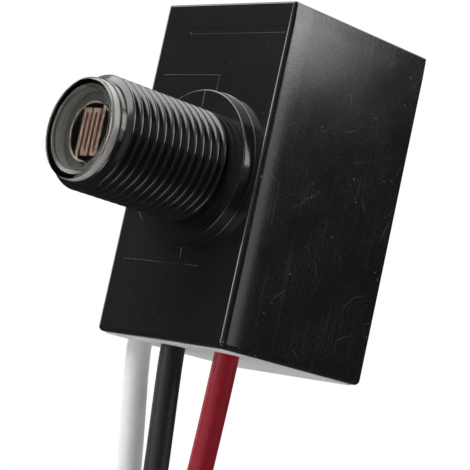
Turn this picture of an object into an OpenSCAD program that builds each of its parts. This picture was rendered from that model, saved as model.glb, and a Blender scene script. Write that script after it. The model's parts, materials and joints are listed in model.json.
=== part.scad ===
// Photocell switch with a threaded nipple, in millimetres.
// The origin is the centre of the collar's seating face. The nipple points along -Y and +Z is up.

/* [Casing] */
// Width of the casing
casing_w = 35.5; // [33.5:0.1:40]
// Height of the casing
casing_h = 63.5; // [61:0.1:75]
// Depth of the casing, from its front face to its back
casing_d = 36.1; // [33.5:0.1:42]
// How far the casing's middle lies to the left of the nipple's axis
casing_shift = 1.3; // [0:0.1:1.6]
// Thickness of the casing's walls
wall = 2; // [1.6:0.1:2.4]
// Radius of the casing's outer edges
edge_r = 1; // [0.4:0.1:1.5]
// Diameter of the round collar on the front face
collar_d = 29; // [25:0.1:31]
// Height of the collar
collar_h = 2.6; // [1.5:0.05:4]
// Radius of the collar's edge
collar_edge_r = 0.3; // [0.2:0.1:0.8]
// Width of a moulding line on the front face
mould_line_w = 0.3; // [0.2:0.05:0.5]
// Height of a moulding line above the front face
mould_line_h = 0.12; // [0.08:0.02:0.2]
// Distance of the cross lines above and below the nipple's axis
mould_cross_z = 17.8; // [16.5:0.1:19]
// How far the cross lines run to the left of the nipple's axis
mould_cross_left = 15.6; // [10:0.1:16]
// How far the lower cross line runs to the right of that axis
mould_cross_right = 5.2; // [3:0.1:10]
// Width of the shallow groove near the top of the front face
groove_w = 1; // [0.6:0.05:1.4]
// Depth of that groove
groove_depth = 0.12; // [0.08:0.02:0.2]
// Distance of that groove from the top of the casing
groove_drop = 5.3; // [4:0.1:8]
// How far that groove runs to the left of the nipple's axis
groove_left = 10.4; // [4:0.1:13]

/* [Nipple] */
// Outside diameter of the thread
thread_d = 21.3; // [20.6:0.1:22]
// Distance from one thread crest to the next
thread_pitch = 1.814; // [1.5:0.002:2]
// Depth of the thread
thread_depth = 1.1; // [0.8:0.05:1.2]
// Length of the nipple in front of the collar
nipple_l = 24.7; // [21:0.1:28]
// Diameter of the bore that holds the lens and the cell
mouth_d = 16.4; // [15.6:0.1:16.8]
// Depth of that bore from the nipple's tip
mouth_depth = 9; // [7.5:0.1:11]
// Diameter of the passage from that bore into the casing
passage_d = 11; // [9.5:0.1:12.5]

/* [Lens] */
// Diameter of the lens rim
lens_d = 18.5; // [17.6:0.1:18.8]
// How far the lens stands out of the nipple
lens_proud = 1.6; // [1.5:0.05:2.2]
// Radius of the rim's front edge
lens_edge_r = 0.6; // [0.3:0.05:0.8]
// Thickness of the lens window
window_t = 1.1; // [0.8:0.05:1.3]
// Thickness of the skirt that plugs into the nipple
skirt_t = 0.8; // [0.6:0.05:1]
// Length of that skirt
skirt_l = 4; // [3.4:0.1:4.6]

/* [Photocell] */
// Diameter of the cell's ceramic disc
cell_d = 11; // [10:0.1:11.6]
// Thickness of the ceramic disc
cell_t = 1.6; // [1.2:0.1:2]
// Diameter of the light-sensitive film
film_d = 10.2; // [9:0.1:10.4]
// Thickness of the film, and of the electrodes on it
film_t = 0.1; // [0.05:0.05:0.2]
// Width of an electrode finger
finger_w = 0.35; // [0.3:0.05:0.55]
// Distance from one finger to the next
finger_pitch = 1.2; // [1:0.05:1.3]
// Number of fingers on each electrode
finger_count = 2; // [1:1:2]
// Width of the electrodes' rims above and below the fingers
rim_w = 0.9; // [0.7:0.05:1.2]
// Thickness of the clear coat on the cell
coat_t = 0.6; // [0.4:0.05:0.8]
// Gap between the lens window and the coat
coat_gap = 1.8; // [1.4:0.05:2]
// Distance between the cell's two wires
cell_wire_gap = 6; // [5.4:0.1:6.6]
// Diameter of the cell's wires and of the small components' wires
wire_d = 0.6; // [0.5:0.05:0.7]
// Outside diameter of the sleeves on the cell's wires
sleeve_d = 1.4; // [1.2:0.05:1.8]

/* [Board] */
// Distance from the casing's front face to the circuit board
board_setback = 10.5; // [10:0.1:11.5]
// Thickness of the circuit board
board_t = 1.6; // [1.2:0.1:2]
// Thickness of the ribs that guide the board
rib_t = 1.2; // [0.8:0.1:1.5]
// How far the ribs stand out of the walls
rib_out = 1; // [0.8:0.1:1.4]
// Half the height of the strip kept free for the cell's wires
cell_band = 3; // [2.6:0.1:3.4]
// Space between neighbouring components
part_gap = 1.2; // [1:0.1:1.5]
// Margin of the board above its highest component
board_margin = 1.4; // [1:0.1:2]
// How far wires stand out of the board's soldered side
pin_out = 1.3; // [1:0.1:1.6]
// How far the wires' tips stand out of their solder
solder_below_tip = 0.3; // [0.1:0.05:0.5]
// Width of solder around a wire at the board
solder_foot = 0.6; // [0.4:0.05:0.7]
// Width of solder around a wire at the solder's top
solder_neck = 0.15; // [0.1:0.05:0.3]

/* [Components] */
// Radius of the upright edges of the box-shaped components
body_edge_r = 0.5; // [0.2:0.1:0.8]
// Width of the relay across the board
relay_w = 19; // [17:0.1:19.5]
// Length of the relay up the board
relay_l = 15.5; // [14:0.1:17]
// Height of the relay
relay_h = 15.5; // [13:0.1:17]
// Diameter of the relay's pins
relay_pin_d = 1; // [0.8:0.05:1.2]
// Distance of the relay's pins from its sides
relay_pin_inset = 1.9; // [1.6:0.1:2.4]
// Length of the film capacitor
film_cap_l = 18; // [17:0.1:19]
// Width of the film capacitor
film_cap_w = 8.5; // [7.5:0.1:9]
// Height of the film capacitor
film_cap_h = 14.5; // [12:0.1:16]
// Distance between the film capacitor's wires
film_cap_pitch = 15; // [14:0.1:15.5]
// Diameter of the smoothing capacitor
smooth_d = 6.3; // [5.6:0.1:6.8]
// Height of the smoothing capacitor
smooth_h = 11.5; // [10:0.1:14]
// Diameter of the delay capacitor
delay_d = 5; // [4.6:0.1:5.6]
// Height of the delay capacitor
delay_h = 11; // [9:0.1:13]
// Distance between the wires of a can capacitor
can_pitch = 3; // [2.8:0.1:3.4]
// Height of the groove around the foot of a can capacitor
can_groove_z = 1.6; // [1.2:0.1:2]
// Radius of that groove and of the can's top edge
can_groove_r = 0.4; // [0.3:0.05:0.5]
// Diameter of the varistor disc
varistor_d = 7.2; // [6.4:0.1:8]
// Thickness of the varistor disc
varistor_t = 4; // [3.4:0.1:4.2]
// Radius of the varistor's coated edge
varistor_edge_r = 1.5; // [1:0.1:1.6]
// Distance between the varistor's wires
varistor_pitch = 5; // [4.6:0.1:5.6]
// Length of the bridge rectifier
bridge_l = 8.5; // [7.8:0.1:9]
// Width of the bridge rectifier
bridge_w = 6.4; // [5.8:0.1:6.8]
// Height of the bridge rectifier
bridge_h = 3.2; // [2.6:0.1:4]
// Distance between the bridge rectifier's pins along its length
bridge_pitch = 5.1; // [4.8:0.1:5.4]
// Width of the transistor
transistor_w = 4.6; // [4.2:0.1:5]
// Thickness of the transistor
transistor_t = 3.6; // [3.2:0.1:3.8]
// Height of the transistor
transistor_h = 4.6; // [4:0.1:5.2]
// Distance from one transistor wire to the next
transistor_pitch = 1.9; // [1.8:0.05:2]
// How far the transistor and the varistor stand off the board
stand_off = 2; // [1.6:0.1:3]
// Diameter of the surge resistor
surge_d = 3.2; // [2.8:0.1:3.6]
// Length of the surge resistor
surge_l = 8.5; // [7:0.1:9]
// Diameter of a bias resistor
bias_d = 1.8; // [1.6:0.1:2.3]
// Length of a bias resistor
bias_l = 3.6; // [3.2:0.1:4.2]
// Diameter of the zener diode
zener_d = 2.6; // [2:0.1:2.8]
// Length of the zener diode
zener_l = 4.2; // [3.4:0.1:4.4]
// Radius of the ends of a lying component
lying_edge_r = 0.4; // [0.2:0.05:0.6]
// Length of wire beyond each end of a lying component
axial_reach = 1.5; // [1.3:0.1:1.6]
// Radius at which the lying components' wires bend
wire_bend_r = 0.8; // [0.7:0.05:0.9]

/* [Seal and leads] */
// Depth of the potting at the bottom of the casing
potting_h = 6; // [5:0.1:6.5]
// Thickness of the potting that laps over the casing's bottom rim
lap_t = 0.4; // [0.2:0.1:0.8]
// Distance of the lap's edge from the casing's round bottom edge
lap_margin = 0.1; // [0.05:0.05:0.4]
// Radius of the lap's corners
lap_corner_r = 0.8; // [0.5:0.1:1.5]
// Thickness of the sealing card on the potting
card_t = 0.8; // [0.5:0.1:1.2]
// Outside diameter of the leads
lead_d = 4.6; // [3.6:0.1:5]
// Diameter of the leads' stranded conductors
conductor_d = 1.85; // [1.5:0.05:2]
// Length of the leads' insulation below the potting
lead_l = 142; // [100:1:200]
// Length of straight insulation above the sealing card and at the free end
lead_tail = 2; // [1.5:0.1:2.5]
// Sideways place of the white lead in the potting
white_exit_x = -13.4; // [-13.6:0.1:-12]
// Sideways place of the white lead's free end
white_hang_x = -7.4; // [-9:0.1:-6.8]
// Drop over which the white lead swings most of the way across
white_swing = 31; // [24:1:40]
// Sideways place of the black lead in the potting
black_exit_x = -3.8; // [-4.4:0.1:-2]
// Sideways place of the black lead's free end
black_hang_x = -2.2; // [-2.5:0.1:-1.5]
// Drop over which the black lead swings most of the way across
black_swing = 28; // [22:1:40]
// Sideways place of the red lead in the potting
red_exit_x = 11; // [9.5:0.1:11.5]
// Sideways place of the red lead's free end
red_hang_x = 3; // [2.8:0.1:6]
// Drop over which the red lead swings most of the way across
red_swing = 50; // [40:1:60]
// Distance of the leads behind the collar's seating face, in the potting
lead_exit_y = 9; // [8.8:0.1:9.2]
// Distance of their free ends behind that face
lead_hang_y = 12.3; // [10:0.1:14]
// Drop over which the leads swing most of the way back
back_swing = 31; // [24:1:40]
// Length of bare conductor at a lead's free end
strip_l = 10; // [6:0.5:14]
// Radius at which a conductor bends into the board
conductor_bend_r = 2; // [1.8:0.1:2.2]

/* [Hidden] */
$fn = 64;

// Clearances: a sliding fit, a wire in its hole, a bonded fit, and a cut's overrun
slide_fit = 0.1;
hole_fit = 0.1;
bonded_fit = 0.01;
over = 1;

// Casing
face_y = collar_h;
casing_x = -casing_shift;
top_z = casing_h / 2;
bottom_z = -casing_h / 2;
cavity_w = casing_w - 2 * wall;
cavity_d = casing_d - 2 * wall;
cavity_top = top_z - wall;
root_depth = collar_h + wall / 2;

// Thread, with equal flats on crest and root
flank_angle = 30;
tip_chamfer = 0.15;
flank = thread_depth * tan(flank_angle);
flat = (thread_pitch - 2 * flank) / 2;
crest_r = thread_d / 2;
root_r = crest_r - thread_depth;
crests = floor((nipple_l - tip_chamfer - flat / 2 - flank) / thread_pitch);

// Lens and photocell, as heights above the collar along the nipple
lens_front = nipple_l + lens_proud;
skirt_r = mouth_d / 2 - slide_fit;
skirt_bore_r = skirt_r - skirt_t;
skirt_end = nipple_l - skirt_l;
mouth_end = nipple_l - mouth_depth;
coat_front = lens_front - window_t - coat_gap;
electrode_front = coat_front - coat_t;
film_front = electrode_front - film_t;
disc_front = film_front - film_t;
disc_back = disc_front - cell_t;
holder_front = electrode_front;
cell_wire_x = cell_wire_gap / 2;
finger_gap = finger_pitch - finger_w;
rim_edge = film_d / 2 - rim_w;
plate_edge = (finger_count + 0.5) * finger_pitch - finger_w / 2;
first_finger = (1.5 - finger_count) * finger_pitch - finger_w / 2;

// Board and the heights of what lies under it
board_front = face_y + board_setback;
board_back = board_front + board_t;
potting_top = bottom_z + potting_h;
card_top = potting_top + card_t;
exit_z = bottom_z - lap_t;
board_w = cavity_w - 2 * slide_fit;

// Places of the components on the board: a relay column and a capacitor column above the cell's
// wires, and the film capacitor, a resistor, the transistor and the bridge rectifier below them
columns_w = relay_w + part_gap + smooth_d;
columns_left = casing_x - columns_w / 2;
columns_right = casing_x + columns_w / 2;
relay_x = columns_left + relay_w / 2;
relay_z = cell_band + relay_l / 2;
cans_x = columns_right - smooth_d / 2;
smooth_z = cell_band + relay_l - smooth_d / 2;
delay_z = smooth_z - smooth_d / 2 - part_gap - delay_d / 2;
varistor_z = delay_z - delay_d / 2 - part_gap - varistor_t / 2;
top_row_z = cell_band + relay_l + part_gap + surge_d / 2;
board_top = top_row_z + surge_d / 2 + board_margin;
film_cap_z = -cell_band - film_cap_w / 2;
film_cap_bottom = -cell_band - film_cap_w;
bridge_pin_z = bridge_w / 2 + wire_d;
bridge_x = columns_right - 2 * part_gap - bridge_l / 2;
bridge_z = film_cap_bottom - part_gap - bridge_pin_z;
transistor_x = bridge_x - bridge_l / 2 - part_gap / 2 - transistor_w / 2;
transistor_z = film_cap_bottom - part_gap - transistor_t / 2;
sense_x = columns_left + part_gap + axial_reach + bias_l / 2;
sense_z = film_cap_bottom - part_gap - bias_d / 2;
surge_x = columns_left + part_gap + axial_reach + surge_l / 2;
base_x = columns_right - part_gap - axial_reach - bias_l / 2;
zener_x = columns_left + part_gap + axial_reach + zener_l / 2;

// Where pins and wires cross the board, as [x, z]
function row_of(x, z, pitch, count) = [for (i = [0:count - 1]) [x + (i - (count - 1) / 2) * pitch, z]];
function axial_ends(x, z, length) = row_of(x, z, length + 2 * axial_reach, 2);
relay_side = relay_w / 2 - relay_pin_inset;
relay_end = relay_l / 2 - relay_pin_inset;
relay_places = concat(
    [[relay_x, relay_z + relay_end]],
    row_of(relay_x, relay_z + relay_end - relay_pin_inset, 2 * relay_side, 2),
    row_of(relay_x, relay_z - relay_end, 2 * relay_side, 2)
);
film_cap_places = row_of(casing_x, film_cap_z, film_cap_pitch, 2);
smooth_places = row_of(cans_x, smooth_z, can_pitch, 2);
delay_places = row_of(cans_x, delay_z, can_pitch, 2);
varistor_places = row_of(cans_x, varistor_z, varistor_pitch, 2);
bridge_places = concat(
    row_of(bridge_x, bridge_z + bridge_pin_z, bridge_pitch, 2),
    row_of(bridge_x, bridge_z - bridge_pin_z, bridge_pitch, 2)
);
transistor_places = row_of(transistor_x, transistor_z, transistor_pitch, 3);
surge_places = axial_ends(surge_x, top_row_z, surge_l);
base_places = axial_ends(base_x, top_row_z, bias_l);
sense_places = axial_ends(sense_x, sense_z, bias_l);
zener_places = axial_ends(zener_x, 0, zener_l);
cell_places = row_of(0, 0, cell_wire_gap, 2);
thin_places = concat(
    film_cap_places, smooth_places, delay_places, varistor_places, bridge_places,
    transistor_places, surge_places, base_places, sense_places, zener_places, cell_places
);

// Routes of the leads: straight through the potting, then a swing that dies away below the casing
lead_steps = 14;
step_growth = 1.5;
swing_power = 1.4;
tail_z = card_top + lead_tail;
swing_l = lead_l - lead_tail;
function swung(from, to, swing, drop) = to + (from - to) * exp(-pow(drop / swing, swing_power));
function lead_point(exit_x, hang_x, swing, drop) = [
    swung(exit_x, hang_x, swing, drop),
    swung(lead_exit_y, lead_hang_y, back_swing, drop),
    exit_z - drop
];
function lead_route(exit_x, hang_x, swing) = concat(
    [[exit_x, lead_exit_y, tail_z], [exit_x, lead_exit_y, (tail_z + exit_z) / 2]],
    [
        for (i = [0:lead_steps])
            lead_point(exit_x, hang_x, swing, swing_l * pow(i / lead_steps, step_growth))
    ],
    [lead_point(exit_x, hang_x, swing, swing_l) - [0, 0, lead_tail]]
);
white_route = lead_route(white_exit_x, white_hang_x, white_swing);
black_route = lead_route(black_exit_x, black_hang_x, black_swing);
red_route = lead_route(red_exit_x, red_hang_x, red_swing);
routes = [white_route, black_route, red_route];
lead_sides = 10;
conductor_pad_z = transistor_z - transistor_t / 2 - part_gap;
conductor_places = [for (route = routes) [route[0][0], conductor_pad_z]];

// Colours
black_plastic = [0.09, 0.09, 0.09];
clear_plastic = [0.85, 0.88, 0.9, 0.35];
dark_grey = [0.24, 0.24, 0.26];
ceramic = [0.9, 0.88, 0.83];
cell_brown = [0.45, 0.29, 0.22];
tinned = [0.78, 0.78, 0.76];
board_tan = [0.72, 0.56, 0.33];
relay_blue = [0.16, 0.3, 0.62];
film_yellow = [0.86, 0.7, 0.2];
can_blue = [0.1, 0.13, 0.28];
varistor_blue = [0.15, 0.35, 0.65];
resistor_tan = [0.83, 0.72, 0.53];
zener_amber = [0.75, 0.3, 0.12];
card_brown = [0.5, 0.38, 0.27];
potting_grey = [0.86, 0.86, 0.85];
copper = [0.78, 0.47, 0.27];
lead_white = [0.9, 0.9, 0.9];
lead_black = [0.07, 0.07, 0.07];
lead_red = [0.7, 0.08, 0.1];

// Frames: along the nipple's axis from the collar outwards, and out from the board's back
module along_nipple(height = 0) {
    rotate([90, 0, 0]) translate([0, 0, height]) children();
}
module on_board(x, z, height = 0) {
    translate([x, board_back + height, z]) rotate([-90, 0, 0]) children();
}

// Rectangle with round corners, centred
module rounded_rect(w, h, r) {
    square([w - 2 * r, h], center = true);
    square([w, h - 2 * r], center = true);
    for (x = [-1, 1])
        for (y = [-1, 1])
            translate([x * (w / 2 - r), y * (h / 2 - r)]) circle(r);
}
module rounded_slab(w, l, h, r) {
    linear_extrude(h) rounded_rect(w, l, r);
}

// Cylinder with a round front edge
module rounded_disc(d, h, r) {
    rotate_extrude() {
        square([d / 2 - r, h]);
        square([d / 2, h - r]);
        translate([d / 2 - r, h - r]) circle(r);
    }
}

// Outside of the casing, with all its edges rounded
module casing_block() {
    flat_w = casing_w - 2 * edge_r;
    flat_d = casing_d - 2 * edge_r;
    flat_h = casing_h - 2 * edge_r;
    translate([casing_x, face_y + casing_d / 2, 0]) {
        translate([0, 0, -flat_h / 2]) rounded_slab(casing_w, casing_d, flat_h, edge_r);
        cube([flat_w, flat_d, casing_h], center = true);
        for (level = [-flat_h / 2, flat_h / 2])
            for (side = [-1, 1]) {
                translate([-flat_w / 2, side * flat_d / 2, level]) rotate([0, 90, 0])
                    cylinder(r = edge_r, h = flat_w);
                translate([side * flat_w / 2, flat_d / 2, level]) rotate([90, 0, 0])
                    cylinder(r = edge_r, h = flat_d);
                for (end = [-1, 1])
                    translate([side * flat_w / 2, end * flat_d / 2, level]) sphere(edge_r);
            }
    }
}

// Nipple with a ring for each turn of its thread, the first of them run out into the collar
module nipple() {
    turns = [
        for (i = [1:crests])
            let (z = i * thread_pitch)
                each [
                    [root_r, z - flat / 2 - flank],
                    [crest_r, z - flat / 2],
                    [crest_r, z + flat / 2],
                    [root_r, z + flat / 2 + flank]
                ]
    ];
    outline = concat(
        [[0, -root_depth], [crest_r, -root_depth], [crest_r, flat / 2], [root_r, flat / 2 + flank]],
        turns,
        [[root_r, nipple_l - tip_chamfer], [root_r - tip_chamfer, nipple_l], [0, nipple_l]]
    );
    along_nipple() rotate_extrude() polygon(outline);
}

// Moulding lines on the front face: one upright and one cross line above and below the collar
module mould_line(x0, x1, z0, z1) {
    half = mould_line_w / 2;
    translate([x0 - half, face_y - mould_line_h, z0 - half])
        cube([x1 - x0 + mould_line_w, mould_line_h + wall / 2, z1 - z0 + mould_line_w]);
}
module mould_lines() {
    inner_z = collar_d / 2 - wall / 2;
    mould_line(0, 0, inner_z, mould_cross_z);
    mould_line(0, 0, -mould_cross_z, -inner_z);
    mould_line(-mould_cross_left, 0, mould_cross_z, mould_cross_z);
    mould_line(-mould_cross_left, mould_cross_right, -mould_cross_z, -mould_cross_z);
}

// Shallow groove near the top of the front face, with a round left end and its right end open
module face_groove() {
    translate([-groove_left, face_y + groove_depth, top_z - groove_drop]) rotate([90, 0, 0])
        linear_extrude(groove_depth + over) {
            translate([0, -groove_w / 2]) square([casing_w, groove_w]);
            circle(d = groove_w);
        }
}

// Pairs of ribs on the side walls, which hold the edges of the board
module guide_ribs() {
    length = cavity_top + over - card_top;
    left_x = casing_x - cavity_w / 2 - wall / 2;
    right_x = casing_x + cavity_w / 2 - rib_out;
    for (y = [board_front - slide_fit - rib_t, board_back + slide_fit])
        for (x = [left_x, right_x])
            translate([x, y, card_top]) cube([rib_out + wall / 2, rib_t, length]);
}

module casing() {
    color(black_plastic) {
        difference() {
            union() {
                casing_block();
                along_nipple(-root_depth) rounded_disc(collar_d, root_depth, collar_edge_r);
                nipple();
                mould_lines();
            }
            translate([casing_x - cavity_w / 2, face_y + wall, bottom_z - over])
                cube([cavity_w, cavity_d, cavity_top - bottom_z + over]);
            face_groove();
            along_nipple(mouth_end) cylinder(d = mouth_d, h = mouth_depth + over);
            along_nipple(-face_y - wall - over)
                cylinder(d = passage_d, h = face_y + wall + over + mouth_end + over);
        }
        guide_ribs();
    }
}

module lens() {
    color(clear_plastic) difference() {
        union() {
            along_nipple(nipple_l) rounded_disc(lens_d, lens_proud, lens_edge_r);
            along_nipple(skirt_end) cylinder(r = skirt_r, h = skirt_l + lens_proud / 2);
        }
        along_nipple(skirt_end - over)
            cylinder(r = skirt_bore_r, h = skirt_l + over + lens_proud - window_t);
    }
}

module cell_holder() {
    nose_r = skirt_bore_r - slide_fit;
    color(dark_grey) difference() {
        union() {
            along_nipple(mouth_end) cylinder(r = skirt_r, h = skirt_end - slide_fit - mouth_end);
            along_nipple(mouth_end) cylinder(r = nose_r, h = holder_front - mouth_end);
        }
        along_nipple(disc_back) cylinder(d = cell_d + 2 * slide_fit, h = holder_front - disc_back + over);
        for (side = [-1, 1])
            along_nipple(mouth_end - over) translate([side * cell_wire_x, 0, 0])
                cylinder(d = wire_d + 2 * hole_fit, h = disc_back - mouth_end + 2 * over);
    }
}

module cell_disc() {
    color(ceramic) along_nipple(disc_back) cylinder(d = cell_d, h = cell_t);
}

module cell_film() {
    color(cell_brown) along_nipple(disc_front) cylinder(d = film_d, h = film_t);
}

// One electrode: a plate down the left side of the film, a rim along its top, and fingers down from that
module cell_electrode() {
    color(tinned) intersection() {
        cylinder(d = film_d, h = film_t);
        union() {
            translate([-film_d, -film_d, 0]) cube([film_d - plate_edge, 2 * film_d, film_t]);
            translate([-film_d, rim_edge, 0]) cube([film_d + plate_edge - finger_gap, film_d, film_t]);
            for (i = [0:finger_count - 1])
                translate([first_finger + 2 * i * finger_pitch, finger_gap - rim_edge, 0])
                    cube([finger_w, film_d, film_t]);
        }
    }
}
module cell_electrode_top() {
    along_nipple(film_front) cell_electrode();
}
module cell_electrode_bottom() {
    along_nipple(film_front) rotate([0, 0, 180]) cell_electrode();
}

module cell_coat() {
    color(clear_plastic) along_nipple(electrode_front) rounded_disc(cell_d, coat_t, coat_t / 2);
}

// Straight wires from the cell's back into the board
module cell_wire(side) {
    color(tinned) translate([side * cell_wire_x, -disc_back, 0]) rotate([-90, 0, 0])
        cylinder(d = wire_d, h = disc_back + board_back);
}
module cell_wire_left() {
    cell_wire(-1);
}
module cell_wire_right() {
    cell_wire(1);
}

module cell_sleeve(side) {
    length = mouth_end + board_front - pin_out - 2 * part_gap;
    color(can_blue) translate([side * cell_wire_x, part_gap - mouth_end, 0]) rotate([-90, 0, 0])
        difference() {
            cylinder(d = sleeve_d, h = length);
            translate([0, 0, -over]) cylinder(d = wire_d + 2 * hole_fit, h = length + 2 * over);
        }
}
module cell_sleeve_left() {
    cell_sleeve(-1);
}
module cell_sleeve_right() {
    cell_sleeve(1);
}

module board_holes(places, d) {
    for (place = places)
        on_board(place[0], place[1], -board_t - over)
            cylinder(d = d + 2 * hole_fit, h = board_t + 2 * over);
}

module circuit_board() {
    color(board_tan) difference() {
        translate([casing_x - board_w / 2, board_front, card_top])
            cube([board_w, board_t, board_top - card_top]);
        board_holes(thin_places, wire_d);
        board_holes(relay_places, relay_pin_d);
        board_holes(conductor_places, conductor_d);
    }
}

// Straight pins that run from a height above the board's back out of its soldered side
module pins(places, d, height = 0) {
    for (place = places)
        color(tinned) on_board(place[0], place[1], -board_t - pin_out)
            cylinder(d = d, h = height + board_t + pin_out);
}

// Can of an electrolytic capacitor: a crimped groove near its foot and a round top edge
module can(d, h) {
    inner_r = d / 2 - can_groove_r;
    rotate_extrude() difference() {
        union() {
            square([inner_r, h]);
            square([d / 2, h - can_groove_r]);
            translate([inner_r, h - can_groove_r]) circle(can_groove_r);
        }
        translate([d / 2, can_groove_z]) circle(can_groove_r);
    }
}

// Cylinder with both edges round
module rounded_rod(d, length, r) {
    rotate_extrude() {
        translate([0, r]) square([d / 2, length - 2 * r]);
        square([d / 2 - r, length]);
        for (end = [r, length - r])
            translate([d / 2 - r, end]) circle(r);
    }
}

// Body of a component that lies on the board
module lying_body(x, z, d, length) {
    translate([x - length / 2, board_back + d / 2, z]) rotate([0, 90, 0])
        rounded_rod(d, length, lying_edge_r);
}

// Its two wires, bent down through the board
module lying_wires(x, z, d, length) {
    axis_y = board_back + d / 2;
    foot_y = board_front - pin_out;
    straight = axial_reach - wire_bend_r;
    bend_y = axis_y - wire_bend_r;
    color(tinned) for (turn = [0, 180])
        translate([x, 0, z]) rotate([0, turn, 0]) {
            translate([length / 2, axis_y, 0]) rotate([0, 90, 0]) cylinder(d = wire_d, h = straight);
            translate([length / 2 + straight, bend_y, 0]) rotate_extrude(angle = 90)
                translate([wire_bend_r, 0]) circle(d = wire_d);
            translate([length / 2 + axial_reach, foot_y, 0]) rotate([-90, 0, 0])
                cylinder(d = wire_d, h = bend_y - foot_y);
        }
}

module relay() {
    color(relay_blue) on_board(relay_x, relay_z)
        rounded_slab(relay_w, relay_l, relay_h, body_edge_r);
}
module relay_pins() {
    pins(relay_places, relay_pin_d);
}

module film_capacitor() {
    color(film_yellow) on_board(casing_x, film_cap_z)
        rounded_slab(film_cap_l, film_cap_w, film_cap_h, body_edge_r);
}
module film_capacitor_wires() {
    pins(film_cap_places, wire_d);
}

module smoothing_capacitor() {
    color(can_blue) on_board(cans_x, smooth_z) can(smooth_d, smooth_h);
}
module smoothing_capacitor_wires() {
    pins(smooth_places, wire_d);
}

module delay_capacitor() {
    color(can_blue) on_board(cans_x, delay_z) can(delay_d, delay_h);
}
module delay_capacitor_wires() {
    pins(delay_places, wire_d);
}

module varistor() {
    middle_y = board_back + stand_off + varistor_d / 2;
    color(varistor_blue) translate([cans_x, middle_y, varistor_z - varistor_t / 2])
        rounded_rod(varistor_d, varistor_t, varistor_edge_r);
}
module varistor_wires() {
    // The wires end at the surface of the coated disc
    color(tinned) difference() {
        pins(varistor_places, wire_d, stand_off + varistor_d / 2);
        varistor();
    }
}

module bridge_rectifier() {
    color(black_plastic) on_board(bridge_x, bridge_z)
        rounded_slab(bridge_l, bridge_w, bridge_h, body_edge_r);
}
module bridge_pins() {
    // Each pin is a leg beside the body, with a foot that meets its side
    foot_y = board_back + bridge_h / 2;
    pins(bridge_places, wire_d, bridge_h / 2);
    for (place = bridge_places)
        color(tinned) translate([place[0], foot_y, place[1]]) {
            sphere(d = wire_d);
            rotate([place[1] > bridge_z ? 180 : 0, 0, 0])
                cylinder(d = wire_d, h = bridge_pin_z - bridge_w / 2);
        }
}

module transistor() {
    color(black_plastic) on_board(transistor_x, transistor_z, stand_off) linear_extrude(transistor_h)
        intersection() {
            circle(d = transistor_w);
            translate([-transistor_w, -transistor_w / 2]) square([2 * transistor_w, transistor_t]);
        }
}
module transistor_wires() {
    pins(transistor_places, wire_d, stand_off);
}

module surge_resistor() {
    color(resistor_tan) lying_body(surge_x, top_row_z, surge_d, surge_l);
}
module surge_resistor_wires() {
    lying_wires(surge_x, top_row_z, surge_d, surge_l);
}

module base_resistor() {
    color(resistor_tan) lying_body(base_x, top_row_z, bias_d, bias_l);
}
module base_resistor_wires() {
    lying_wires(base_x, top_row_z, bias_d, bias_l);
}

module sense_resistor() {
    color(resistor_tan) lying_body(sense_x, sense_z, bias_d, bias_l);
}
module sense_resistor_wires() {
    lying_wires(sense_x, sense_z, bias_d, bias_l);
}

module zener_diode() {
    color(zener_amber) lying_body(zener_x, 0, zener_d, zener_l);
}
module zener_diode_wires() {
    lying_wires(zener_x, 0, zener_d, zener_l);
}

// Cone of solder around each wire on the board's front
module joints(places, d) {
    height = pin_out - solder_below_tip;
    for (place = places)
        translate([place[0], board_front, place[1]]) rotate([90, 0, 0]) difference() {
            cylinder(r1 = d / 2 + solder_foot, r2 = d / 2 + solder_neck, h = height);
            translate([0, 0, -over]) cylinder(d = d + 2 * bonded_fit, h = height + 2 * over);
        }
}
module solder_joints() {
    color(tinned) {
        joints(thin_places, wire_d);
        joints(relay_places, relay_pin_d);
        joints(conductor_places, conductor_d);
    }
}

module lead_holes(fit) {
    for (route = routes)
        translate([route[0][0], route[0][1], exit_z - over])
            cylinder(d = lead_d + 2 * fit, h = card_top - exit_z + 2 * over);
}

module sealing_card() {
    w = cavity_w - 2 * slide_fit;
    d = cavity_d - 2 * slide_fit;
    color(card_brown) difference() {
        translate([casing_x - w / 2, face_y + wall + slide_fit, potting_top]) cube([w, d, card_t]);
        lead_holes(slide_fit);
    }
}

// Resin that fills the bottom of the casing and laps over its rim
module potting() {
    fill_z = bottom_z - lap_t / 2;
    inset = edge_r + lap_margin;
    color(potting_grey) difference() {
        union() {
            translate([casing_x - cavity_w / 2, face_y + wall, fill_z])
                cube([cavity_w, cavity_d, potting_top - fill_z]);
            translate([casing_x, face_y + casing_d / 2, exit_z])
                rounded_slab(casing_w - 2 * inset, casing_d - 2 * inset, lap_t, lap_corner_r);
        }
        lead_holes(bonded_fit);
    }
}

// Round tube along a route: a ring of points square to the path at each of its points
function unit(v) = v / norm(v);
function heading(route, i) = unit(route[min(i + 1, len(route) - 1)] - route[max(i - 1, 0)]);
function ring(centre, along, r) =
    let (u = unit(cross(along, [0, 1, 0])), v = cross(along, u))
        [
            for (k = [0:lead_sides - 1])
                let (turn = 360 * k / lead_sides)
                    centre + r * (cos(turn) * u + sin(turn) * v)
        ];
module tube(route, r) {
    n = len(route);
    points = [for (i = [0:n - 1]) each ring(route[i], heading(route, i), r)];
    sides = [
        for (i = [0:n - 2])
            for (k = [0:lead_sides - 1])
                let (a = i * lead_sides, next = (k + 1) % lead_sides)
                    [a + k, a + next, a + lead_sides + next, a + lead_sides + k]
    ];
    first = [for (k = [lead_sides - 1:-1:0]) k];
    last = [for (k = [0:lead_sides - 1]) (n - 1) * lead_sides + k];
    polyhedron(points, concat([first], sides, [last]));
}

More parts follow.
